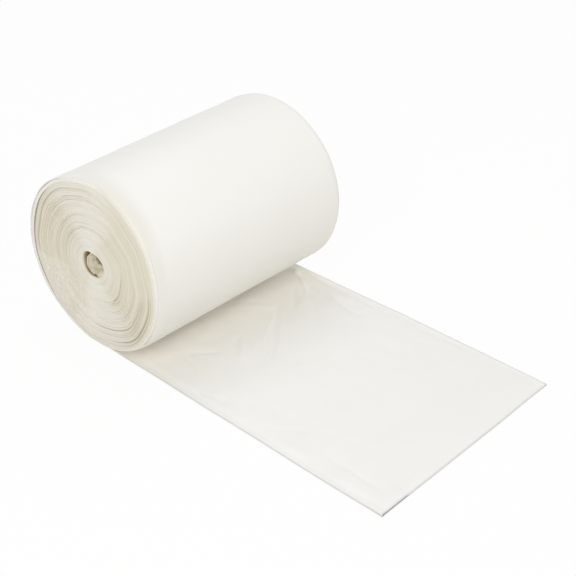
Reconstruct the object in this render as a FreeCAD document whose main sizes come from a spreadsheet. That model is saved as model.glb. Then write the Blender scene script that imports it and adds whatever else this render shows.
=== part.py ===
import FreeCAD, Part
import math
import os
import Sketcher
from FreeCAD import Vector

# A roll of bin bags lying on its side, with the first bag drawn out flat in front of it.
#
# The roll is one strip of flat film bags, wound up without a core. The strip starts as a curl in
# the centre hole, goes round in turns that are pressed into one mass, comes off the back of the
# roll as a loose outer turn, passes under the roll and ends as the first bag. It is one piece.
#
# Millimetres. X runs along the roll, the first bag lies towards -Y, and Z is up. The origin is on
# the floor, under the roll's axis and half way along the film's width.

# Driving dimensions
SIZES = {
    "film_width": 300.0,  # width of the flat bags, from one side fold to the other
    "bag_reach": 420.0,  # from under the roll's axis to the first bag's front edge
    "film_stack": 0.9,  # thickness of the plies of one flat bag with the air between them
    "fold_height": 1.8,  # height of the springy fold along each side of the first bag
    "fold_run": 9.0,  # distance in which that height falls to the film stack's
    "near_radius": 105.4,  # outer radius of the roll at its near end, which faces -X
    "far_radius": 111.6,  # outer radius at its far end
    "near_back": 4.5,  # how far the near end lies behind the far end, as the roll lies askew
    "telescope": 1.5,  # how far the inner turns have slid out of the near end
    "near_run": 13.0,  # length in which the edges of the outer turns step back, near end
    "near_drop": 4.0,  # fall of the radius in that length
    "far_run": 12.0,  # the same length at the far end
    "far_drop": 10.0,  # the same fall at the far end
    "floor_sink": 1.6,  # how deep the soft roll settles on its flat spot
    "hole_radius": 14.3,  # centre hole that the winding shaft left
    "hole_rise": 3.1,  # how far the hole lies above the near end's centre, as the turns sag
    "hole_back": 2.9,  # how far it lies behind the far end's centre
    "loose_offset": 3.0,  # how much further the roll reaches at its back, with its loose outer turn
    "loose_gap": 2.6,  # widest gap inside that loose turn
    "gap_depth": 40.0,  # how far the gap runs in from each end
    "gap_top": 60.0,  # angle above level at which the gap starts, seen from the axis
    "gap_bottom": 70.0,  # angle below level at which it ends
    "turn_pitch": 12.5,  # distance between the gaps that show among the turns on the ends
    "turn_groove": 0.8,  # width of such a gap
    "groove_depth": 2.5,  # depth of such a gap
    "rim_land": 3.0,  # distance from the edge of the flat end to the outermost of those gaps
    "curl_film": 1.2,  # thickness of the film's inner end, which curls up in the hole
    "curl_gap": 3.0,  # how far the curl stands off the hole's wall after each half turn
    "curl_recess": 3.0,  # how deep inside the hole the curl's ends lie
}
OVERLAP = 5.0  # extra length with which one stretch of the strip runs into the next
ROOT = 0.5  # how deep the curl's outer end starts inside the hole's wall
SHOULDER_STEPS = 3  # straight stretches in which each shoulder falls back, like the film edges there
STRETCHES = 8  # equal stretches of the side between the shoulders

doc = FreeCAD.newDocument("bag_roll")
sheet = doc.addObject("Spreadsheet::Sheet", "sizes")
for row, (name, value) in enumerate(SIZES.items(), start=1):
    sheet.set(f"A{row}", name)
    sheet.set(f"B{row}", str(value))
    sheet.setAlias(f"B{row}", name)
doc.recompute()

# Places of the roll's two ends, and heights of their centres and of the hole, as sheet formulas.
# The whole length of the tapered roll lies on the floor.
NEAR = "(-sizes.film_width / 2 - sizes.telescope)"
FAR = "(sizes.film_width / 2 - sizes.telescope)"
NEAR_HEIGHT = "(sizes.near_radius - sizes.floor_sink)"
FAR_HEIGHT = "(sizes.far_radius - sizes.floor_sink)"
HOLE_HEIGHT = f"({NEAR_HEIGHT} + sizes.hole_rise)"


def size(name):
    """One driving dimension, as the sheet holds it."""
    return float(sheet.get(name))


def evaluate(formula):
    """The value that one of the sheet's formulas has now."""
    value = sheet.evalExpression(formula)
    return float(getattr(value, "Value", value))


def own_plane(body, role):
    """One of a body's own origin planes or axes."""
    return next(feature for feature in body.Origin.OriginFeatures if feature.Role == role)


def new_sketch(body, name, role, offset="0"):
    """A sketch on one of the body's origin planes, moved along its normal by a formula."""
    sketch = body.newObject("Sketcher::SketchObject", name)
    sketch.AttachmentSupport = [(own_plane(body, role), "")]
    sketch.MapMode = "FlatFace"
    sketch.setExpression("AttachmentOffset.Base.z", offset)
    return sketch


def drive(sketch, name, constraint, formula):
    """Adds a sized constraint that follows a formula."""
    number = sketch.addConstraint(constraint)
    sketch.renameConstraint(number, name)
    sketch.setExpression(f"Constraints.{name}", formula)


def closed_outline(sketch, corners):
    """A closed outline of straight lines, each of whose corners is held by two formulas."""
    points = [Vector(evaluate(x), evaluate(y), 0) for x, y in corners]
    count = len(points)
    for i in range(count):
        sketch.addGeometry(Part.LineSegment(points[i], points[(i + 1) % count]), False)
    for i in range(count):
        sketch.addConstraint(Sketcher.Constraint("Coincident", i, 2, (i + 1) % count, 1))
    for i, formulas in enumerate(corners):
        for kind, formula, value in zip(("DistanceX", "DistanceY"), formulas, points[i]):
            drive(sketch, f"{kind}{i}", Sketcher.Constraint(kind, -1, 1, i, 1, value), formula)


def closed_curves(sketch, curves):
    """A closed outline of lines and arcs that meet end to end."""
    for curve in curves:
        sketch.addGeometry(curve, False)


def cut(body, name, sketch, length, backwards=False):
    """A pocket in the body that is as deep as the formula says, checked to cut something."""
    before = body.Shape.Volume
    pocket = body.newObject("PartDesign::Pocket", name)
    pocket.Profile = sketch
    pocket.setExpression("Length", length)
    pocket.Reversed = backwards
    doc.recompute()
    if pocket.Shape.Volume > before - 1.0:
        raise ValueError(f"{name} cuts nothing")


def side_at(place):
    """Centre and radius of the roll's side at a place along it, between its two ends."""
    share = (evaluate(place) - evaluate(NEAR)) / (evaluate(FAR) - evaluate(NEAR))
    radius = size("near_radius") + (size("far_radius") - size("near_radius")) * share
    return Vector(size("near_back") * (1 - share), radius - size("floor_sink"), 0), radius


def roll_section(sketch, centre, radius):
    """The roll's section at one place: round, with a short level stretch at its top and bottom."""
    rise = Vector(0, radius, 0)
    forward = Vector(-radius, 0, 0)
    step = Vector(size("loose_offset"), 0, 0)
    closed_curves(
        sketch,
        [
            Part.Arc(centre + rise, centre + forward, centre - rise),
            Part.LineSegment(centre - rise, centre - rise + step),
            Part.Arc(centre - rise + step, centre - forward + step, centre + rise + step),
            Part.LineSegment(centre + rise + step, centre + rise),
        ],
    )


def gap_section(sketch, place):
    """The crescent between the loose outer turn and the turns inside it, at a place on the roll."""
    centre, radius = side_at(place)
    axis = centre + Vector(size("loose_offset"), 0, 0)
    inside = radius - size("film_stack")
    tips = []
    for degrees in (size("gap_top"), -size("gap_bottom")):
        angle = math.radians(degrees)
        tips.append(axis + Vector(math.cos(angle), math.sin(angle), 0) * inside)
    middle = math.radians((size("gap_top") - size("gap_bottom")) / 2)
    outward = Vector(math.cos(middle), math.sin(middle), 0)
    closed_curves(
        sketch,
        [
            Part.Arc(tips[0], axis + outward * inside, tips[1]),
            Part.Arc(tips[1], axis + outward * (inside - size("loose_gap")), tips[0]),
        ],
    )


def turn_stations():
    """Places along the roll, each with how far its rim lies inside the tapered side there."""
    near = []
    far = []
    side = []
    for i in range(SHOULDER_STEPS + 1):
        angle = math.radians(90 * i / SHOULDER_STEPS)
        along = 1 - math.cos(angle)
        inset = 1 - math.sin(angle)
        near.append((f"{NEAR} + sizes.near_run * {along}", size("near_drop") * inset))
        far.append((f"{FAR} - sizes.far_run * {along}", size("far_drop") * inset))
    for i in range(1, STRETCHES):
        side.append((f"{NEAR} + ({FAR} - {NEAR}) * {i / STRETCHES}", 0))
    return near + side + far[::-1]


def spiral_arcs(levels):
    """Half circles that make one smooth spiral across the roll.

    Each level is a height at which the spiral crosses the vertical line through the hole, by turns
    at its bottom and at its top. The half circles bulge to the back going up, and to the front
    going down, which is how the film is wound.
    """
    across = size("hole_back")
    arcs = []
    for start, end in zip(levels, levels[1:]):
        bulge = Vector(across + (end - start) / 2, (start + end) / 2, 0)
        arcs.append(Part.Arc(Vector(across, start, 0), bulge, Vector(across, end, 0)))
    return arcs


def spiral_band(sketch, levels, thickness):
    """The outline of a band of that thickness, whose outer side is the spiral of those levels."""
    across = size("hole_back")
    inner_levels = [z + thickness if i % 2 == 0 else z - thickness for i, z in enumerate(levels)]
    ends = []
    for outer, inner in ((levels[0], inner_levels[0]), (levels[-1], inner_levels[-1])):
        ends.append(Part.LineSegment(Vector(across, outer, 0), Vector(across, inner, 0)))
    closed_curves(sketch, spiral_arcs(levels) + spiral_arcs(inner_levels) + ends)


def turn_levels(place, drop):
    """Levels of the gap between the turns, from just inside the rim at one end to the hole.

    The turns lie closer above the hole than below it, because the hole sits above the centre.
    """
    centre, radius = side_at(place)
    outer = radius - drop - abs(centre.x - size("hole_back")) - size("rim_land")
    inner = size("hole_radius") + size("turn_pitch") / 2
    count = 2 * int((outer - inner) / size("turn_pitch"))
    levels = []
    for i in range(count + 1):
        height = centre.y + (evaluate(HOLE_HEIGHT) - centre.y) * i / count
        reach = outer + (inner - outer) * i / count
        levels.append(height - reach if i % 2 == 0 else height + reach)
    return levels


def wound_turns():
    """The turns as one mass, tapered, with edges that step back at both ends and a centre hole."""
    body = doc.addObject("PartDesign::Body", "wound_turns")
    sections = []
    for i, (place, inset) in enumerate(turn_stations()):
        centre, radius = side_at(place)
        section = new_sketch(body, f"turn_section{i}", "YZ_Plane", place)
        roll_section(section, centre, radius - inset)
        sections.append(section)
    turns = body.newObject("PartDesign::AdditiveLoft", "turns")
    turns.Profile = sections[0]
    turns.Sections = sections[1:]
    turns.Ruled = True
    doc.recompute()

    hole = new_sketch(body, "hole_circle", "YZ_Plane", NEAR)
    centre = Vector(size("hole_back"), evaluate(HOLE_HEIGHT), 0)
    hole.addGeometry(Part.Circle(centre, Vector(0, 0, 1), size("hole_radius")), False)
    drive(hole, "across", Sketcher.Constraint("DistanceX", -1, 1, 0, 3, centre.x), "sizes.hole_back")
    drive(hole, "height", Sketcher.Constraint("DistanceY", -1, 1, 0, 3, centre.y), HOLE_HEIGHT)
    drive(hole, "reach", Sketcher.Constraint("Radius", 0, size("hole_radius")), "sizes.hole_radius")
    cut(body, "centre_hole", hole, "sizes.film_width", backwards=True)

    # Each loose gap is drawn where the roll is narrower, so it stays inside the tapered side.
    for end, place, gap_start, backwards in (
        ("near", NEAR, NEAR, True),
        ("far", FAR, f"({FAR} - sizes.gap_depth)", False),
    ):
        crescent = new_sketch(body, f"{end}_crescent", "YZ_Plane", gap_start)
        gap_section(crescent, gap_start)
        cut(body, f"{end}_loose_gap", crescent, "sizes.gap_depth", backwards=True)
        spiral = new_sketch(body, f"{end}_spiral", "YZ_Plane", place)
        spiral_band(spiral, turn_levels(place, size(f"{end}_drop")), size("turn_groove"))
        cut(body, f"{end}_turn_gap", spiral, "sizes.groove_depth", backwards)
    return body


def first_bag():
    """The flat bag in front of the roll and under it, with a raised fold along each side."""
    body = doc.addObject("PartDesign::Body", "first_bag")
    section = new_sketch(body, "bag_section", "XZ_Plane")
    edge = "sizes.film_width / 2"
    nose = "sizes.fold_height / 2"
    closed_outline(
        section,
        [
            (f"-{edge} + {nose}", "0"),
            (f"{edge} - {nose}", "0"),
            (edge, nose),
            (f"{edge} - {nose}", "sizes.fold_height"),
            (f"{edge} - sizes.fold_run", "sizes.film_stack"),
            (f"-{edge} + sizes.fold_run", "sizes.film_stack"),
            (f"-{edge} + {nose}", "sizes.fold_height"),
            (f"-{edge}", nose),
        ],
    )
    pad = body.newObject("PartDesign::Pad", "bag_length")
    pad.Profile = section
    pad.setExpression("Length", f"sizes.bag_reach + sizes.near_back + {OVERLAP}")
    body.setExpression("Placement.Base.y", f"sizes.near_back + {OVERLAP}")
    return body


def inner_curl():
    """The strip's inner end: one open turn in the centre hole, which grows out of the hole's wall."""
    body = doc.addObject("PartDesign::Body", "inner_curl")
    section = new_sketch(body, "curl_section", "YZ_Plane", f"{NEAR} + sizes.curl_recess")
    bottom = evaluate(HOLE_HEIGHT) - size("hole_radius")
    top = evaluate(HOLE_HEIGHT) + size("hole_radius")
    levels = [bottom - ROOT, top - size("curl_gap"), bottom + 2 * size("curl_gap")]
    spiral_band(section, levels, size("curl_film"))
    pad = body.newObject("PartDesign::Pad", "curl_length")
    pad.Profile = section
    pad.setExpression("Length", "sizes.film_width - 2 * sizes.curl_recess")
    return body


def below_floor():
    """A block under the floor, which takes off what the soft roll's flat spot pushes in."""
    block = doc.addObject("Part::Box", "below_floor")
    block.setExpression("Length", "2 * sizes.film_width")
    block.setExpression("Width", "4 * sizes.far_radius")
    block.setExpression("Height", "sizes.far_radius")
    block.setExpression("Placement.Base.x", "-sizes.film_width")
    block.setExpression("Placement.Base.y", "-2 * sizes.far_radius")
    block.setExpression("Placement.Base.z", "-sizes.far_radius")
    return block


settled = doc.addObject("Part::Cut", "settled_turns")
settled.Base = wound_turns()
settled.Tool = below_floor()
roll = doc.addObject("Part::MultiFuse", "bag_roll")
roll.Shapes = [settled, first_bag(), inner_curl()]
roll.Label = "bag_roll"
doc.recompute()

for thing in doc.Objects:
    if "Invalid" in thing.State or "Error" in thing.State:
        raise ValueError(f"{thing.Label} failed")
if roll.Shape.isNull() or not roll.Shape.isValid() or len(roll.Shape.Solids) != 1:
    raise ValueError("the roll isn't one valid solid")

os.makedirs("parts", exist_ok=True)
roll.Shape.exportStep(f"parts/{roll.Label}.step")
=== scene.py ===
import math
import bpy
import numpy as np
from mathutils import Matrix, Vector


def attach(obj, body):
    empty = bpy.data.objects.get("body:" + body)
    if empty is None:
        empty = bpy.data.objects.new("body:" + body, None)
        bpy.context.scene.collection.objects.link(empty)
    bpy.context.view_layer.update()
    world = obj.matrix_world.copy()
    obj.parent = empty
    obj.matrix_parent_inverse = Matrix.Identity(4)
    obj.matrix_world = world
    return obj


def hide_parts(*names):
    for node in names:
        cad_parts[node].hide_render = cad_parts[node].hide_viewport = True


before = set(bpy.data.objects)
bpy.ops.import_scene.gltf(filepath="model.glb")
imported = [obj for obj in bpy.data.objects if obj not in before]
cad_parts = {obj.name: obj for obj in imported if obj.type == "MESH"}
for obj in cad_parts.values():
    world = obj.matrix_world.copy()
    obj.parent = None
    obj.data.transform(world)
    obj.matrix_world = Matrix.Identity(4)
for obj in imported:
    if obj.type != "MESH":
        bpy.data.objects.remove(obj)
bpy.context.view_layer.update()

# The camera. It looks down over the roll's near end and along the drawn bag, at the photograph's
# angle. Its place is worked out from a target point, a distance in metres, and three angles in
# degrees: round the roll, upwards, and a slight roll of the camera itself.
CAMERA_TARGET = Vector((0.00429, -0.15349, 0.07627))
CAMERA_DISTANCE = 1.40028
CAMERA_ANGLES = (-49.01, 32.43, 2.17)
CAMERA_LENS = 76.5
SENSOR_WIDTH = 36.0
azimuth, elevation, roll = (math.radians(degrees) for degrees in CAMERA_ANGLES)
backwards = Vector(
    (
        math.sin(azimuth) * math.cos(elevation),
        -math.cos(azimuth) * math.cos(elevation),
        math.sin(elevation),
    )
)
level = Vector((math.cos(azimuth), math.sin(azimuth), 0.0))
upright = backwards.cross(level)
camera_right = level * math.cos(roll) + upright * math.sin(roll)
camera_up = upright * math.cos(roll) - level * math.sin(roll)
camera_data = bpy.data.cameras.new("camera")
camera_data.lens = CAMERA_LENS
camera_data.sensor_width = SENSOR_WIDTH
camera = bpy.data.objects.new("camera", camera_data)
camera_place = Matrix.Translation(CAMERA_TARGET + backwards * CAMERA_DISTANCE)
camera_turn = Matrix((camera_right, camera_up, backwards)).transposed().to_4x4()
camera.matrix_world = camera_place @ camera_turn
bpy.context.scene.collection.objects.link(camera)
bpy.context.scene.camera = camera
bpy.context.scene.view_settings.view_transform = "Standard"

# The floor. It is a plain white table top, which keeps the soft shadow under the roll. Seen by the
# camera it is mostly plain white, so that it runs into the white behind it. Sizes are in metres.
FLOOR_REACH = 12.0
FLOOR_HEIGHT = -0.0002
FLOOR_CORNERS = ((-1, -1), (1, -1), (1, 1), (-1, 1))
FLOOR_PLAIN_SHARE = 0.94
FLOOR_WHITE = (0.88, 0.88, 0.87, 1)
PLAIN_WHITE = (1, 1, 1, 1)
floor_points = [(x * FLOOR_REACH, y * FLOOR_REACH, FLOOR_HEIGHT) for x, y in FLOOR_CORNERS]
floor_mesh = bpy.data.meshes.new("floor")
floor_mesh.from_pydata(floor_points, [], [(0, 1, 2, 3)])
floor = bpy.data.objects.new("floor", floor_mesh)
bpy.context.scene.collection.objects.link(floor)


class Amount:
    """A number that changes over a surface. It wraps a node's socket, and an expression on such
    numbers adds the Math nodes that work it out."""

    def __init__(self, finish, socket):
        self.finish = finish
        self.socket = socket

    def worked_out(self, operation, *terms):
        settings = {"operation": operation}
        return self.finish.node("ShaderNodeMath", settings, dict(enumerate(terms)))

    def __add__(self, other):
        return self.worked_out("ADD", self, other)

    def __radd__(self, other):
        return self.worked_out("ADD", other, self)

    def __sub__(self, other):
        return self.worked_out("SUBTRACT", self, other)

    def __rsub__(self, other):
        return self.worked_out("SUBTRACT", other, self)

    def __mul__(self, other):
        return self.worked_out("MULTIPLY", self, other)

    def __rmul__(self, other):
        return self.worked_out("MULTIPLY", other, self)


class Finish:
    """The nodes of one material, or of the world."""

    def __init__(self, owner, output="ShaderNodeOutputMaterial"):
        owner.use_nodes = True
        self.tree = owner.node_tree
        self.tree.nodes.clear()
        self.output = self.tree.nodes.new(output)

    def fill(self, socket, value):
        """Puts a plain value into a socket, or links an amount's socket to it."""
        if isinstance(value, Amount):
            self.tree.links.new(value.socket, socket)
        else:
            socket.default_value = value

    def node(self, kind, settings, sockets, output=0):
        """Adds a node of that kind, with its settings and then its sockets, and gives back one of
        its outputs as an amount."""
        node = self.tree.nodes.new(kind)
        for name, value in settings.items():
            setattr(node, name, value)
        for name, value in sockets.items():
            self.fill(node.inputs[name], value)
        return Amount(self, node.outputs[output])

    def surface(self, shader):
        """Makes a shader what the material or the world shows."""
        self.fill(self.output.inputs["Surface"], shader)

    def seen_plainly(self):
        """1 where the camera sees a thing, by itself or in or through a shiny one, otherwise 0."""
        path = "ShaderNodeLightPath"
        by_itself = self.node(path, {}, {}, output="Is Camera Ray")
        in_shine = self.node(path, {}, {}, output="Is Glossy Ray")
        through = self.node(path, {}, {}, output="Is Transmission Ray")
        return by_itself + in_shine + through

    def switched(self, share, low, high):
        """Two shaders mixed by a share from 0 to 1."""
        return self.node("ShaderNodeMixShader", {}, {0: share, 1: low, 2: high})


table_top = bpy.data.materials.new("table_top")
table = Finish(table_top)
matt = table.node("ShaderNodeBsdfDiffuse", {}, {"Color": FLOOR_WHITE})
plain = table.node("ShaderNodeEmission", {}, {"Color": PLAIN_WHITE, "Strength": 1.0})
table.surface(table.switched(FLOOR_PLAIN_SHARE * table.seen_plainly(), matt, plain))
floor.data.materials.append(table_top)

# The light. It comes from a bright white room and from three wide soft boxes: over the roll's
# back, beside the drawn bag, and in front of the roll's near end. Behind the roll it is white.
ROOM_WHITE = (1.0, 0.995, 0.98, 1)
ROOM_STRENGTH = 0.61
ROLL_MIDDLE = (0.0, -0.1, 0.1)
NEAR_END_MIDDLE = (-0.15, 0.0, 0.1)
world = bpy.data.worlds.new("room")
bpy.context.scene.world = world
room = Finish(world, "ShaderNodeOutputWorld")
lit = room.node("ShaderNodeBackground", {}, {"Color": ROOM_WHITE, "Strength": ROOM_STRENGTH})
white = room.node("ShaderNodeBackground", {}, {"Color": PLAIN_WHITE, "Strength": 1.0})
room.surface(room.switched(room.seen_plainly(), lit, white))


def soft_box(name, place, target, size, power):
    """A square area lamp that looks from its place to a target, with its side in metres and its
    power in watts."""
    lamp_data = bpy.data.lights.new(name, "AREA")
    lamp_data.size = size
    lamp_data.energy = power
    lamp = bpy.data.objects.new(name, lamp_data)
    away = Vector(place) - Vector(target)
    lamp_turn = away.to_track_quat("Z", "Y").to_matrix().to_4x4()
    lamp.matrix_world = Matrix.Translation(place) @ lamp_turn
    bpy.context.scene.collection.objects.link(lamp)


soft_box("over_the_roll", (0.3, 0.5, 1.7), ROLL_MIDDLE, 1.0, 6.0)
soft_box("beside_the_bag", (0.5, -1.7, 0.9), ROLL_MIDDLE, 1.2, 6.4)
soft_box("before_the_end", (-1.5, -0.7, 0.9), NEAR_END_MIDDLE, 0.9, 9.5)

# The wound turns. The real roll is one strip of flat film bags, wound up tightly without a core,
# so each end shows the pressed edges of its turns. They are made from each end to the middle of
# the roll, where the two halves meet under the outer turn. Sizes are in millimetres.
NEAR_FACE = -151.5
FAR_FACE = 148.5
NEAR_RADIUS = 105.4
RADIUS_GROWTH = 6.2
NEAR_BACK = 4.5
FLOOR_SINK = 1.6
OUTER_TURN = 1.0
LOOSE_OFFSET = 3.0
BULGE = 3.2
BULGE_ANGLE = 5.5
BULGE_SHIFT = 0.14
BULGE_SPREAD = 0.36
HOLE_CENTRE = (2.9, 106.9)
HOLE_RADIUS = 14.3
MOUTH_ROUNDING = 1.2
MOUTH_LENGTH = 3.5
SHOULDER_END = 150
SHOULDER_FADE = 40
GAP_TURN = 2
GAP_ANGLES = (62, 106)
GAP_FADE = 34
GAP_DEPTH = 9.0
MARK_FADE = 0.06
GROOVE_DEPTH = 0.16
GROOVE_CHANGE = 0.14
TURNS = 42
ROWS_IN_TURN = (0.0, 0.14, 0.5, 0.86)
STEP = len(ROWS_IN_TURN)
COLUMNS = 400
SIDE_SHARES = (0, 0.3, 0.6, 0.75, 0.85, 0.92, 0.97, 0.99)
WALL_DEPTHS = (0.6, 1.2, 2, 3, 4.5, 6, 8, 11, 16, 30, 60, 100)


def rise(low, high, x):
    """0 below low, 1 above high, and a smooth S curve between them."""
    share = np.clip((x - low) / (high - low), 0, 1)
    return share * share * (3 - 2 * share)


def between(start, end, fade, x):
    """1 from start to end, and 0 further than fade outside them."""
    return rise(start - fade, start, x) * (1 - rise(end, end + fade, x))


def wander(x, spacing, seed):
    """A smooth random line: values from -1 to 1, one every spacing, joined by S curves."""
    values = np.random.default_rng(seed).uniform(-1, 1, 4096)
    place = x / spacing
    cell = np.floor(place).astype(int)
    share = rise(0, 1, place - cell)
    return values[cell % 4096] * (1 - share) + values[(cell + 1) % 4096] * share


def ripples(u, v, length, seed):
    """Soft random bumps on a plane: the sum of 12 sine waves in random directions, each about as
    long as length, over the square root of their number."""
    random = np.random.default_rng(seed)
    total = 0.0
    for turn, phase, stretch in random.uniform(0, 1, (12, 3)):
        wave = 2 * math.pi / (length * (0.7 + 0.6 * stretch))
        along = u * math.cos(2 * math.pi * turn) + v * math.sin(2 * math.pi * turn)
        total = total + np.sin(wave * along + 2 * math.pi * phase)
    return total / math.sqrt(12)


def side(x):
    """Centre across and up, and radius, of the roll at a place along it. They are straight lines
    from its near end to its far end, which is a little larger."""
    share = (x - NEAR_FACE) / (FAR_FACE - NEAR_FACE)
    radius = NEAR_RADIUS + RADIUS_GROWTH * share
    return NEAR_BACK * (1 - share), radius - FLOOR_SINK, radius


def around(x, angle, radius):
    """The point at an angle round the roll, from its bottom by its back, top and front, and at a
    radius. The back stands off by LOOSE_OFFSET times the sine of the angle. The low front bulges
    by BULGE at the near end and is drawn in as much at the far end, both by a bell curve of how
    far apart two points on a circle are, so that it closes round the roll."""
    across, up, full = side(x)
    loose = LOOSE_OFFSET * np.clip(np.sin(angle), 0, 1) * radius / full
    share = (x - NEAR_FACE) / (FAR_FACE - NEAR_FACE)
    apart = 2 * np.sin((angle - BULGE_ANGLE - BULGE_SHIFT * share) / 2)
    bell = np.exp(-((apart / BULGE_SPREAD) ** 2))
    radius = radius + (BULGE - 2 * BULGE * share) * bell * (radius / full) ** 3
    return across + loose + radius * np.sin(angle), up - radius * np.cos(angle)


def piece(name, points, faces, amounts, sharp=50):
    """A mesh object from points in millimetres and an array of triangles. Points that lie together
    become one, triangles that this closes up are left out, and faces are turned outwards where
    the volume comes out negative. Amounts are named numbers, one for each point."""
    rounded = np.round(points, 5)
    kept, first, place = np.unique(rounded, axis=0, return_index=True, return_inverse=True)
    faces = place.reshape(-1)[faces]
    one, two, three = faces.T
    faces = faces[(one != two) & (two != three) & (three != one)]
    corners = kept[faces]
    volume = np.einsum("ij,ij->", corners[:, 0], np.cross(corners[:, 1], corners[:, 2]))
    if volume < 0:
        faces = faces[:, ::-1]
    mesh = bpy.data.meshes.new(name)
    mesh.from_pydata(kept * 0.001, [], faces)
    for key, values in amounts.items():
        attribute = mesh.attributes.new(key, "FLOAT", "POINT")
        attribute.data.foreach_set("value", values.reshape(-1)[first].astype(np.float32))
    mesh.polygons.foreach_set("use_smooth", np.ones(len(faces), dtype=bool))
    mesh.set_sharp_from_angle(angle=math.radians(sharp))
    mesh.update()
    thing = bpy.data.objects.new(name, mesh)
    bpy.context.scene.collection.objects.link(thing)
    return thing


def grid_faces(rows, columns, closed):
    """Triangles of a grid of points, two for each square. A closed grid also joins its last row to
    its first."""
    joined_rows = rows if closed else rows - 1
    row = np.arange(joined_rows)[:, None]
    column = np.arange(columns - 1)[None, :]
    here = (row * columns + column).reshape(-1)
    below = (((row + 1) % rows) * columns + column).reshape(-1)
    squares = np.stack([here, here + 1, below + 1, below], 1)
    return np.concatenate([squares[:, [0, 1, 2]], squares[:, [0, 2, 3]]])


def mark_depth(marks, number, degrees, outer, pitch):
    """How far the marked turns' edges stand back. A mark is a stretch of the strip, counted in
    turns from the rim. It fades out at its ends and over the rows next to it."""
    nearest = np.round(number / STEP)
    off_groove = np.abs(number - STEP * nearest)
    profile = np.clip(1 - 0.45 * off_groove, 0, 1) * (off_groove < 2)
    depth = 0.0
    for reach, start_angle, end_angle, deep in marks:
        marked = np.round((outer - reach) / pitch + 1 - (start_angle + end_angle) / 720)
        along = nearest - marked + degrees / 360
        stretch = between(start_angle / 360, end_angle / 360, MARK_FADE, along)
        depth = depth + deep * profile * stretch
    return depth


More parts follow.
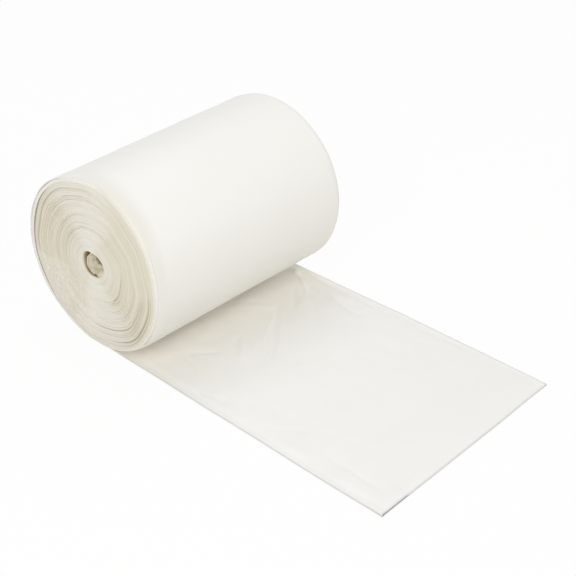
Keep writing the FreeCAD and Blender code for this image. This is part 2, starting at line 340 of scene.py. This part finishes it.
def end_rows(end, angle, at_back, start, mouth):
    """Rows of points over an end, from its rim to its hole, and three amounts for each.

    Row and angle together give a place on one long spiral, in turns from the rim. Each turn's edge
    is rounded and has a groove before it. It is slid out or in by smooth random lines along the
    strip, and stands back at the rim by a quarter of an ellipse, which is the shoulder. A pressed
    patch takes the turns' relief away and has soft lumps instead."""
    seed = end["seed"]
    degrees = np.degrees(angle)
    number = np.arange(STEP * (TURNS + 1) + 1)[:, None]
    fraction = np.array(ROWS_IN_TURN)[number % STEP]
    place = number // STEP - 1 + angle / (2 * math.pi)
    spiral = np.clip(place + fraction, 0, TURNS)
    inward = spiral / TURNS
    edges = rise(0, 0.5, spiral) * rise(0, 0.5, TURNS - spiral)

    outer = side(start)[2] - OUTER_TURN
    pitch = (outer - mouth) / TURNS
    slack = between(GAP_ANGLES[0], GAP_ANGLES[1], GAP_FADE, degrees)
    gap_row = STEP * (GAP_TURN + 1)
    past_gap = np.clip((number - gap_row + 1) / 2, 0, 1)
    radius = outer + (mouth - outer) * inward - end["gap"] * slack * past_gap * (1 - inward)
    unround = 0.012 * end["unround"] * np.sin(3 * angle + 0.6) * np.sin(math.pi * inward)
    radius = radius * (1 - unround)
    rim_y, rim_z = around(start, angle, radius)
    centre_y, centre_z, _ = side(start)
    nudge = 0.9 * rise(0, 5, spiral) * rise(0, 6, TURNS - spiral)
    nudge = nudge * ripples(rim_y, rim_z, 55, seed + 7)
    pull = end["pull"] * np.sin(math.pi * inward) ** 2
    y = rim_y + (HOLE_CENTRE[0] - centre_y) * inward + nudge * np.sin(angle) - pull
    z = rim_z + (HOLE_CENTRE[1] - centre_z) * inward - nudge * np.cos(angle)

    def stepped_back(distance):
        """How far the turns' edges lie inside the end's plane, at a distance from the rim."""
        out = 1 - np.clip(distance / (end["drop"] * (1 - 0.6 * at_back)), 0, 1)
        return -end["run"] * (1 - 0.7 * at_back) * (1 - np.sqrt(1 - out * out))

    def slid(turn):
        """How far the strip's edge has slid out, at a place along the strip, in turns."""
        slow = 0.34 * wander(turn, 1.37, seed) + 0.2 * wander(turn, 0.53, seed + 1)
        return slow + 0.08 * wander(turn, 0.09, seed + 2)

    smooth_shoulder = stepped_back(spiral * pitch)
    cut_shoulder = stepped_back(np.clip(place + 0.5, 0, TURNS) * pitch)
    shoulder = smooth_shoulder + (cut_shoulder - smooth_shoulder) * 0.7 * edges

    pressed = end["pressed"](y, z)
    relief = edges * (1 - pressed) * (1 - 0.5 * (1 - rise(34, 50, radius)))
    here = slid(place)
    fine = 1 + 1.2 * rise(0.2, 0.7, np.cos(angle)) + 0.7 * between(95, 185, 25, degrees)
    groove = fine * (GROOVE_DEPTH + GROOVE_CHANGE * wander(place, 0.23, seed + 3))
    groove = np.minimum(here, slid(place - 1)) - groove
    depth = mark_depth(end["marks"], number, degrees, outer, pitch)
    is_groove = fraction == 0
    rounding = np.where(is_groove, 0, 0.14 - 1.1 * (fraction - 0.5) ** 2)
    # The bands set both how far the turns stand out and their colour: turns that stand back are
    # painted a deeper beige, as painted shade, and those that stand out a paler one.
    banded = wander(spiral, 1.15, seed + 5)
    raised = np.where(is_groove, groove, here + rounding) - depth
    raised = raised + 0.75 * banded + 0.7 * wander(place, 6.5, seed + 4)
    inside_rim = outer - radius
    soft = pressed * end["pressed_form"](y, z)
    soft = soft * rise(6, 13, inside_rim) * rise(0, 0.5, TURNS - spiral)
    loose_gap = GAP_DEPTH * slack * (number == gap_row)
    x = end["face"] + end["outward"] * (shoulder + raised * relief + soft - loose_gap)

    # Painted shade: the groove before each turn, the marked turns that stand back and the wall of
    # the loose gap are painted a darker brown, where shade falls between the edges.
    crevice_shade = np.clip(is_groove * (0.08 + 0.3 * (here - groove)) + 0.45 * depth, 0, 1.2)
    gap_wall = slack * np.clip(1.5 - 0.9 * np.abs(number - gap_row), 0, 1.2)
    crevice_shade = np.maximum(relief * crevice_shade, gap_wall)
    pale = [
        between(20, 180, 30, degrees) * (1 - rise(4.2, 5.4, inside_rim)),
        0.9 * (1 - between(20, 165, 40, degrees)) * (1 - rise(0, 8, inside_rim)),
        0.25 * (1 - rise(26, 52, radius)),
        0.35 * pressed * rise(-10, 20, y),
        0.6 * rise(0.7, 1, np.abs(np.cos(angle + 0.15))) + 0 * radius,
    ]
    amounts = {"crevice_shade": crevice_shade, "pale": np.max(pale, axis=0), "band": 0.5 + 0.5 * banded}
    return x, y, z, amounts


def wall_rows(end, angle, mouth):
    """Rows of points along the hole's wall, from its mouth to the roll's middle. Its radius goes
    from the mouth's to the hole's own by an exponential curve. The last value is painted shade
    in the hole, past its rounded mouth."""
    depth = np.array(WALL_DEPTHS + (abs(end["face"]),))[:, None]
    radius = HOLE_RADIUS + (mouth - HOLE_RADIUS) * np.exp(-depth / MOUTH_LENGTH)
    x = end["face"] - end["outward"] * depth + 0 * angle
    y = HOLE_CENTRE[0] + radius * np.sin(angle)
    z = HOLE_CENTRE[1] - radius * np.cos(angle)
    return x, y, z, (1 - rise(15.8, 18.2, radius)) * rise(0.4, 2, depth)


def wound_half(name, end):
    """Half of the wound roll, from its middle to one end, as a closed ring.

    Rows of the grid go along the side, in over the end from its rim to the hole, and back to the
    middle along the hole's wall. Columns go round. The last column of the end meets the first one
    a turn further in. The shoulder is sharper at the back."""
    angle = np.linspace(0, 2 * math.pi, COLUMNS + 1)[None, :]
    round_back = (np.degrees(angle) + 90) % 360 - 90
    at_back = between(end["sharp_from"], SHOULDER_END, SHOULDER_FADE, round_back)
    start = end["face"] - end["outward"] * end["run"] * (1 - 0.7 * at_back)
    mouth = HOLE_RADIUS + MOUTH_ROUNDING + end["flare"] * np.sin(angle) ** 2
    side_x = np.array(SIDE_SHARES)[:, None] * start
    side_y, side_z = around(side_x, angle, side(side_x)[2] - OUTER_TURN)
    end_x, end_y, end_z, tones = end_rows(end, angle, at_back, start, mouth)
    wall_x, wall_y, wall_z, shaded = wall_rows(end, angle, mouth)
    x = np.concatenate([side_x, end_x, wall_x])
    y = np.concatenate([side_y, end_y, wall_y])
    z = np.maximum(np.concatenate([side_z, end_z, wall_z]), OUTER_TURN)
    points = np.stack([x, y, z], -1).reshape(-1, 3)
    on_side, on_end, on_wall = 0 * side_y, 0 * end_y, 0 * wall_y
    amounts = {
        "crevice_shade": np.concatenate([on_side, tones["crevice_shade"], on_wall]),
        "pale": np.concatenate([on_side + 1, tones["pale"], on_wall + 0.5]),
        "band": np.concatenate([on_side, tones["band"], on_wall]),
        "shaded": np.concatenate([on_side, on_end, shaded]),
    }
    return piece(name, points, grid_faces(len(x), COLUMNS + 1, closed=True), amounts)


def near_pressed(y, z):
    """Where the near end's edges are pressed flat: at its lower back, under a level line, and at
    its upper front."""
    level = 86 + 1.5 * wander(y, 19, 35)
    back = between(50, 115, 12, y) * (1 - rise(-2, 3, z - level)) * rise(8, 30, z)
    low = between(12, 60, 22, y) * between(28, 66, 18, z)
    front = between(-104, -42, 26, y) * between(122, 174, 30, z)
    return np.clip(np.maximum(0.8 * np.maximum(back, 0.75 * low), front), 0, 1)


def near_form(y, z):
    """Height of the pressed edges: soft lumps, short creases where the waves cross zero, and one
    nick, which is a small bell curve next to a deeper one."""
    creases = np.exp(-((ripples(y, z, 13, 31) / 0.22) ** 2))
    lumps = 0.6 * ripples(y, z, 26, 32) + 0.7 * ripples(y, z, 9, 33)
    lip = 1.8 * np.exp(-((y - 22) ** 2 + (z - 37) ** 2) / 6)
    dent = 3.0 * np.exp(-((y - 18) ** 2 + (z - 38) ** 2) / 4)
    return rise(-10, 30, y) * (lumps - 1.5 * creases + lip - dent) + 0.5


def far_pressed(y, z):
    """Where the far end's edges are pressed flat: at its lower front."""
    return 0.7 * between(-70, -20, 20, y) * between(30, 80, 16, z)


def far_form(y, z):
    """Height of the far end's pressed edges: soft lumps."""
    return 0.5 * ripples(y, z, 26, 61)


# Marked turns: radius, angles from and to, and how far their edge stands back, which is negative
# for a turn that has slid outwards.
NEAR_MARKS = [
    (46, 236, 314, 1.6),
    (46, 55, 236, 0.8),
    (75, 288, 372, -1.1),
    (78, 285, 378, 1.3),
    (92, 258, 336, 1.6),
    (96, 270, 345, 0.7),
    (72, 76, 96, 1.5),
    (62, 80, 150, 0.6),
    (54, 70, 160, 0.5),
    (84, 60, 165, 0.6),
    (94, 60, 175, 0.7),
    (68, 255, 300, 0.7),
    (57, 300, 350, 0.6),
]
FAR_MARKS = [(60, 100, 250, 1.0), (84, 10, 120, 1.0), (38, 180, 330, 0.8)]
# Both ends. The shoulder runs back along the roll by run and in towards its axis by drop, and is
# sharper from an angle round the back on. The loose gap pushes the turns in by gap, and the hole's
# mouth is wider by flare at its front and back. The turns are unround by a share of a fixed wave,
# and pulled to the front by pull half way in.
NEAR_END = {
    "face": NEAR_FACE,
    "outward": -1,
    "run": 13.0,
    "drop": 8.5,
    "gap": 2.0,
    "sharp_from": -22,
    "flare": 4.4,
    "unround": 1.0,
    "pull": 4.2,
    "seed": 11,
    "marks": NEAR_MARKS,
    "pressed": near_pressed,
    "pressed_form": near_form,
}
FAR_END = {
    "face": FAR_FACE,
    "outward": 1,
    "run": 12.0,
    "drop": 10.0,
    "gap": 1.8,
    "sharp_from": 45,
    "flare": 2.0,
    "unround": 0.6,
    "pull": 1.5,
    "seed": 57,
    "marks": FAR_MARKS,
    "pressed": far_pressed,
    "pressed_form": far_form,
}
near_turns = wound_half("near_turns", NEAR_END)
far_turns = wound_half("far_turns", FAR_END)


class FilmFinish(Finish):
    """The nodes of a film's material."""

    def place(self):
        """The place on a piece, in its own metres."""
        return self.node("ShaderNodeTexCoord", {}, {}, output="Object")

    def held(self, name):
        """The number that the mesh holds at each point under that name."""
        return self.node("ShaderNodeAttribute", {"attribute_name": name}, {}, output=2)

    def noise(self, place, scale, detail=3.0):
        """Soft noise from 0 to 1 at a place, with about that many patches for each metre."""
        sockets = {"Vector": place, "Scale": scale, "Detail": detail}
        return self.node("ShaderNodeTexNoise", {}, sockets)

    def blend(self, share, low, high):
        """A colour between two others, by a share from 0 to 1."""
        sockets = {0: share, 6: low, 7: high}
        return self.node("ShaderNodeMix", {"data_type": "RGBA"}, sockets, output=2)

    def film(self, tone, roughness, height, strength, depth, shine):
        """Makes the surface a film of that colour tone, roughness and shine, whose fine relief is a
        height times a depth in metres, with a strength from 0 to 1."""
        bump = {"Strength": strength, "Distance": depth, "Height": height}
        sockets = {
            "Base Color": tone,
            "Roughness": roughness,
            "Normal": self.node("ShaderNodeBump", {}, bump),
            "Specular IOR Level": shine,
        }
        self.surface(self.node("ShaderNodeBsdfPrincipled", {}, sockets))


EDGE_DEEP = (0.65, 0.605, 0.485, 1)
EDGE_BEIGE = (0.785, 0.75, 0.64, 1)
EDGE_PALE = (0.875, 0.85, 0.795, 1)
CREVICE_SHADE = (0.42, 0.34, 0.22, 1)
HOLE_SHADE = (0.32, 0.23, 0.11, 1)
wound_film = bpy.data.materials.new("wound_film_edges")
wound = FilmFinish(wound_film)
place = wound.place()
mottle = wound.noise(place, 70.0, detail=4.0)
grain = wound.noise(place, 900.0, detail=2.0)
# The edges' beige varies at random, and is deeper on bands of turns that stand back, which is
# painted shade.
tone = wound.blend(0.4 * mottle + 0.6 * wound.held("band"), EDGE_DEEP, EDGE_BEIGE)
tone = wound.blend(wound.held("pale"), tone, EDGE_PALE)
# Painted shade in the grooves, in the stood-back marked turns and in the loose gap's wall.
tone = wound.blend(wound.held("crevice_shade") * 0.6, tone, CREVICE_SHADE)
# Painted shade inside the hole, past its rounded mouth.
tone = wound.blend(wound.held("shaded"), tone, HOLE_SHADE)
wound.film(tone, 0.5 + 0.16 * mottle, grain, strength=0.25, depth=0.0002, shine=0.35)
for half in (near_turns, far_turns):
    half.data.materials.append(wound_film)
    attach(half, "root")
    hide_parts("bag_roll")

# The drawn bag. It is the strip's first bag and the turn that follows it: two plies of thin film
# with a springy folded-in side along each edge. It lies flat on the table, passes under the roll,
# goes up its back as a loose turn, over its top and down its front. Sizes are in millimetres.
FILM_WIDTH = 300.0
BAG_REACH = 420.0
FILM_STACK = 0.9
FOLD_HEIGHT = 1.8
FOLD_RUN = 9.0
NARROWING = 6.5
LAST_ANGLE = 352.0
FRONT_SLIT = (-146.0, -112.0)
SLIT_FADE = 8
POCKET_DEPTH = 14
FLAT_ROWS = 158
WRAPPED_ROWS = 201
EDGES_UNDER = (-145.5, -142.0, -138.0)
EDGE_STEP = 0.26
# Creases of the flat bag: start and end on the table, half width, and height, which is negative
# for a furrow.
CREASES = [
    ((133, -52), (104, -100), 4.2, 2.6),
    ((130, -64), (112, -134), 3.8, -2.8),
    ((124, -62), (92, -110), 3.4, -1.0),
    ((134, -84), (118, -150), 3.6, 1.2),
    ((116, -136), (106, -186), 3.8, -2.0),
    ((129, -118), (122, -160), 3.4, 0.9),
    ((138, -66), (136, -210), 3.0, -0.8),
    ((108, -90), (84, -114), 3.4, 1.0),
    ((100, -82), (54, -120), 3.2, -1.0),
    ((93, -118), (56, -160), 3.2, -1.0),
    ((88, -104), (66, -130), 3.6, 0.7),
    ((88, -166), (70, -184), 3.0, -0.6),
    ((54, -94), (10, -128), 3.8, -2.2),
    ((24, -118), (-36, -168), 3.8, -2.2),
    ((56, -92), (-6, -132), 3.6, 1.2),
    ((12, -120), (-30, -152), 3.0, -0.8),
    ((2, -136), (-26, -166), 3.2, 0.7),
    ((8, -52), (53, -96), 4.6, 0.5),
    ((30, -60), (60, -92), 4.0, -0.3),
    ((-24, -104), (-62, -133), 3.2, -0.8),
    ((-28, -114), (-56, -142), 3.4, 0.8),
    ((-28, -130), (-56, -153), 3.2, 0.7),
    ((-96, -90), (-58, -118), 3.4, -0.6),
    ((-98, -88), (-112, -132), 3.0, -0.4),
    ((-2, -176), (-22, -196), 3.0, -0.8),
    ((38, -186), (60, -196), 3.4, -0.4),
    ((-118, -322), (-121, -404), 3.0, -0.9),
    ((-126, -252), (-98, -290), 3.4, -0.4),
    ((-132, -70), (-60, -88), 6.0, 0.5),
    ((-134, -150), (-128, -196), 4.0, -0.5),
    ((24, -232), (-14, -268), 5.0, 0.3),
    ((92, -214), (70, -262), 4.0, -0.4),
    ((136, -230), (141, -330), 3.2, -0.6),
]


def crease_height(x, y):
    """Height of all creases at a place: for each, its height times a bell curve of the distance
    from its line, which wanders a little, faded out towards both ends."""
    total = 0.0
    for (x0, y0), (x1, y1), reach, height in CREASES:
        length = math.hypot(x1 - x0, y1 - y0)
        along = ((x - x0) * (x1 - x0) + (y - y0) * (y1 - y0)) / length
        aside = ((x - x0) * (y1 - y0) - (y - y0) * (x1 - x0)) / length
        aside = aside + 1.6 * wander(along + 7 * x0, 15, 71)
        faded = between(0.2 * length, 0.74 * length, 0.28 * length, along)
        total = total + height * faded * np.exp(-((aside / reach) ** 2))
    return total


# Places across the film, from 0 at its left edge to 1 at its right edge, closer together at both
# edges. The section goes out along the upper ply, round the right fold and back along the lower,
# with a lip of three points round each fold.
by_edge = [0.0, 0.9, 1.8, 2.8, 3.8, 4.8, 5.8, 6.8, 7.8, 9, 10.2, 11.4, 12.6, 14, 15.6, 17.4]
by_edge = np.array(by_edge)
middle = np.linspace(20, 280, 86)
across_film = np.concatenate([by_edge, middle, FILM_WIDTH - by_edge[::-1]]) / FILM_WIDTH
lip_share = np.array([0.15, 1.7, 0.15]) / FILM_WIDTH
lip_height = np.array([0.8, 0.5, 0.2])
ply_points = len(across_film) - 2
ply_share = np.concatenate([across_film[1:-1], 1 - lip_share, across_film[-2:0:-1], lip_share])
full_height = np.ones(ply_points)
ply_height = np.concatenate([full_height, lip_height, 0 * full_height, lip_height[::-1]])
from_side = FILM_WIDTH * np.minimum(ply_share, 1 - ply_share)
thickness = FILM_STACK + (FOLD_HEIGHT - FILM_STACK) * (1 - rise(0, FOLD_RUN, from_side))


def flat_rows(share):
    """Points of the flat part, with share from 0 at the front edge to 1 under the roll's axis. The
    film narrows a little towards the roll on its right. Away from its edges and from the roll it
    lifts off the table by soft waves and by its creases."""
    share = share[:, None]
    left = 0.6 * wander(share * BAG_REACH, 90, 81) + 1.0 * rise(0.55, 0.8, share)
    left = left - FILM_WIDTH / 2
    right = 0.5 * wander(share * BAG_REACH, 70, 82) - NARROWING * rise(0.25, 0.95, share)
    right = right + FILM_WIDTH / 2
    x = left + (right - left) * ply_share[None, :]
    y = -BAG_REACH + (side(x)[0] + BAG_REACH) * share
    y = y + 0.5 * wander(x, 55, 83) * (1 - rise(0, 0.05, share))
    loose = 1 - rise(-60, -38, y)
    inside_edges = rise(0, 16, x - left) * rise(0, 16, right - x)
    waves = 0.35 * ripples(x, y, 75, 84) + 0.18 * ripples(x, y, 30, 85) + 0.25
    lift = loose * inside_edges * (0.9 + waves + crease_height(x, y))
    lift = np.maximum(lift, 0) * rise(0, 0.03, share)
    swollen = 0.5 * wander(y, 23, 86) * (1 - rise(3, 12, np.minimum(x - left, right - x)))
    slit = between(FRONT_SLIT[0], FRONT_SLIT[1], SLIT_FADE, x) * (1 - rise(0, 0.07, share))
    high = thickness[None, :] + lift + loose * (0.3 + swollen) * 0.5 + 1.6 * slit
    return np.stack([x, y, ply_height[None, :] * high], -1)


def outer_radius(x, angle):
    """Radius of the loose turn's outer side. It drops over both shoulders with the turns under it,
    except low at the back of the near end, shows their edges as faint steps, and sinks into the
    mass at its end."""
    degrees = np.degrees(angle)
    on_roll = rise(15, 70, degrees)
    over_near = rise(135, 185, degrees) * (1 - rise(300, 345, degrees))
    near = np.clip((NEAR_FACE + NEAR_END["run"] - x) / NEAR_END["run"], 0, 0.97)
    far = np.clip((x - FAR_FACE + FAR_END["run"]) / FAR_END["run"], 0, 0.97)
    drop = NEAR_END["drop"] * over_near * (1 - np.sqrt(1 - near * near))
    drop = drop + FAR_END["drop"] * on_roll * (1 - np.sqrt(1 - far * far))
    shift = 1.2 * wander(degrees, 40, 91)
    steps = sum(rise(-0.5, 0.5, x - edge - shift) - 1 for edge in EDGES_UNDER) * EDGE_STEP
    waves = 0.22 * ripples(x, degrees * 1.9, 90, 92) + 0.1 * ripples(x, degrees * 1.9, 38, 93)
    held = rise(20, 60, degrees) * (1 - rise(300, 340, degrees))
    sunk = 1.5 * rise(318, 350, degrees)
    return side(x)[2] - drop + over_near * steps * on_roll + held * (waves + 0.25) - sunk


def wrapped_rows(degrees):
    """Points of the turn round the roll, at angles from its bottom by its back, top and front. Its
    left edge stands out at the back and lies further in over the top."""
    angle = np.radians(degrees)[:, None]
    turned = degrees[:, None]
    left = -149.0 - 2.6 * between(60, 130, 40, turned) + 2.2 * rise(170, 250, turned)
    left = left + 0.5 * wander(turned, 28, 94)
    right = 144.5 + 0.8 * wander(turned, 35, 95)
    x = left + (right - left) * ply_share[None, :]
    height_in_film = ply_height[None, :] * thickness[None, :]
    y, z = around(x, angle, outer_radius(x, angle) - height_in_film)
    return np.stack([x, y, np.maximum(z, height_in_film)], -1)


def with_ends(faces, upper, lower, rings, points_in_ring):
    """Triangles of a tube of rings, and of a flat end at both. An end is the strip between the
    upper and the lower side of its ring, and the second one faces the other way."""
    ends = []
    for first_point, order in ((0, 1), ((rings - 1) * points_in_ring, -1)):
        one, two = upper[:-1] + first_point, upper[1:] + first_point
        three, four = lower[1:] + first_point, lower[:-1] + first_point
        strip = np.concatenate([np.stack([one, two, three], 1), np.stack([one, three, four], 1)])
        ends.append(strip[:, ::order])
    return np.concatenate([faces] + ends)


def ring_closed(values):
    """The same rows with their first value again at the end, so that each ring closes."""
    return np.concatenate([values, values[:, :1]], 1)


flat = flat_rows(np.linspace(0, 1, FLAT_ROWS))
wrapped_degrees = np.linspace(0, LAST_ANGLE, WRAPPED_ROWS + 1)[1:]
mouth = flat[0].copy()
pocket = between(FRONT_SLIT[0], FRONT_SLIT[1], SLIT_FADE, mouth[:, 0])
mouth[:, 1] += 1.5 + POCKET_DEPTH * pocket
mouth[:, 2] = 0.2 + mouth[:, 2] * 0.6
rings = np.concatenate([mouth[None], flat, wrapped_rows(wrapped_degrees)])
section = len(ply_share)
right_lip = np.arange(ply_points, ply_points + 3)
left_lip = np.arange(section - 3, section)
upper_ply = np.arange(ply_points)
lower_ply = np.arange(section - 4, ply_points + 2, -1)
upper = np.concatenate([left_lip[1:], upper_ply, right_lip[:2]])
lower = np.concatenate([left_lip[1::-1], lower_ply, right_lip[:0:-1]])
faces = grid_faces(len(rings), section + 1, closed=False)
faces = with_ends(faces, upper, lower, len(rings), section + 1)

x, y, _ = np.moveaxis(rings, -1, 0)
ring_angle = np.concatenate([np.zeros(1 + FLAT_ROWS), wrapped_degrees])[:, None]
# Painted shade: a thin grey line along the bag's folded sides and its front edge, where the fold's
# side and the gap between its plies lie in shade. It fades out on the roll.
right_side = 0.9 * (ply_share > 0.5)
side_shade_line = 1 - rise(0.2, 1.8, from_side - right_side)
front_shade_line = 1 - rise(0.3, 1.6, y + BAG_REACH)
# Painted shade: the turn round the roll is painted a darker, warmer cream on the roll's lower
# front, and along its near end from the top down its front.
by_near_end = 1.2 * (1 - rise(-146, -118, x)) * rise(150, 200, ring_angle)
amounts = {
    "edge": np.maximum(side_shade_line, front_shade_line) * (1 - 0.85 * rise(-45, -20, y)),
    "low": np.maximum(rise(205, 300, ring_angle), by_near_end),
    # Painted light: the flat bag is painted a paler, warmer cream towards the roll, where the
    # roll's shade falls on it.
    "under": rise(-170, -50, y) * (ring_angle == 0),
    "rolled": (ring_angle > 0) + 0 * x,
}
amounts = {key: ring_closed(value) for key, value in amounts.items()}
drawn_bag = piece("drawn_bag", ring_closed(rings).reshape(-1, 3), faces, amounts, sharp=60)

FILM_CREAM = (0.875, 0.868, 0.83, 1)
FILM_WHITE = (0.895, 0.892, 0.872, 1)
FILM_FLAT = (0.875, 0.87, 0.85, 1)
FILM_UNDER_PAINTED_LIGHT = (0.965, 0.93, 0.855, 1)
FILM_WARM_SHADE = (0.79, 0.765, 0.705, 1)
FOLD_SHADE = (0.62, 0.615, 0.60, 1)
cream_film = bpy.data.materials.new("cream_film")
cream = FilmFinish(cream_film)
place = cream.place()
stretched = cream.node("ShaderNodeMapping", {}, {"Vector": place, "Scale": (1.0, 0.03, 0.03)})
streaks = cream.noise(stretched, 160.0)
cloud = cream.noise(place, 14.0)
crinkle = cream.noise(place, 240.0)
tone = cream.blend(0.75 * cloud + 0.25 * streaks, FILM_CREAM, FILM_WHITE)
tone = cream.blend((1 - cream.held("rolled")) * 0.8, tone, FILM_FLAT)
# Painted light on the flat bag under the roll's shade.
tone = cream.blend(cream.held("under") * 0.9, tone, FILM_UNDER_PAINTED_LIGHT)
# Painted shade on the roll's lower front and its near end.
tone = cream.blend(cream.held("low") * 0.8, tone, FILM_WARM_SHADE)
# Painted shade along the bag's folded sides and front edge.
tone = cream.blend(cream.held("edge") * 0.7, tone, FOLD_SHADE)
height = streaks + 0.5 * crinkle
cream.film(tone, 0.4 + 0.14 * cloud, height, strength=0.2, depth=0.0003, shine=0.4)
drawn_bag.data.materials.append(cream_film)
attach(drawn_bag, "root")
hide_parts("bag_roll")

# The strip's inner end. It is the first turn of film that the winding shaft left, which has come
# loose and curls up inside the hole. It touches the hole's wall at its bottom only, and has one
# sharp pleat at its upper front. Sizes are in millimetres.
CURL_FILM = 1.2
CURL_RECESS = 1.6
CURL_RADIUS = 14.2
CURL_TURNS = 1.12
CURL_POINTS = 160
CURL_LENGTH = 290
curl_turn = np.linspace(0, CURL_TURNS, CURL_POINTS)
film_turn = np.concatenate([curl_turn, curl_turn[::-1]])
film_depth = np.repeat([0.0, CURL_FILM], CURL_POINTS)
mouth_steps = np.arange(0, 24, 1.5)
inside_steps = np.linspace(28, 262, 12)
from_mouth = np.concatenate([mouth_steps, inside_steps, CURL_LENGTH - mouth_steps[::-1]])[:, None]
near_reach = NEAR_FACE + CURL_RECESS + 1.2 * wander(film_turn, 0.21, 101)
far_reach = FAR_FACE - CURL_RECESS + 1.2 * wander(film_turn, 0.21, 102)
loop_x = near_reach + (far_reach - near_reach) * from_mouth / CURL_LENGTH
at_mouth = np.exp(-from_mouth / 12)
loosened = 3.2 * between(0.16, 0.34, 0.13, film_turn) + 2.0 * rise(0.72, 1.0, film_turn)
pleat = (2.0 + 5.5 * at_mouth) * between(0.6, 0.66, 0.07, film_turn)
crumple = (0.15 + 0.45 * at_mouth) * ripples(loop_x, film_turn * 78, 12, 103)
crumple = crumple * rise(0, 0.15, film_turn)
spread = 4.6 * np.exp(-from_mouth / 3.5) * between(0.74, 0.88, 0.08, film_turn)
loop_radius = CURL_RADIUS + spread - loosened - pleat + crumple - film_depth
loop_angle = 2 * math.pi * film_turn
loop_y = HOLE_CENTRE[0] + loop_radius * np.sin(loop_angle)
loop_z = HOLE_CENTRE[1] - 0.15 * loosened - loop_radius * np.cos(loop_angle)
loops = ring_closed(np.stack([loop_x, loop_y, loop_z], -1))
points_in_loop = 2 * CURL_POINTS + 1
outside = np.arange(CURL_POINTS)
faces = grid_faces(len(loops), points_in_loop, closed=False)
faces = with_ends(faces, outside, 2 * CURL_POINTS - 1 - outside, len(loops), points_in_loop)
by_pleat = np.abs(film_turn - 0.66) < 0.14
# Painted shade: the curl's outer side, which faces the hole's wall, is painted brown, darkest by
# the pleat.
shaded = (film_depth == 0) * np.where(by_pleat, 1.0, 0.75) * rise(0.6, 2.4, from_mouth)
at_tip = np.exp(-from_mouth / 1.2) + 0 * shaded
amounts = {"shaded": ring_closed(shaded), "tip": ring_closed(at_tip)}
inner_curl = piece("inner_curl", loops.reshape(-1, 3), faces, amounts)

CURL_CREAM = (0.91, 0.85, 0.68, 1)
CURL_PALE = (0.95, 0.91, 0.78, 1)
TIP_BEIGE = (0.74, 0.68, 0.53, 1)
CURL_SHADE = (0.37, 0.27, 0.14, 1)
inner_film = bpy.data.materials.new("inner_film")
curled = FilmFinish(inner_film)
cloud = curled.noise(curled.place(), 60.0)
tone = curled.blend(cloud, CURL_CREAM, CURL_PALE)
tone = curled.blend(curled.held("tip"), tone, TIP_BEIGE)
# Painted shade on the curl's outer side.
tone = curled.blend(curled.held("shaded"), tone, CURL_SHADE)
curled.film(tone, 0.42 + 0.14 * cloud, cloud, strength=0.3, depth=0.0005, shine=0.5)
inner_curl.data.materials.append(inner_film)
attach(inner_curl, "root")
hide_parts("bag_roll")
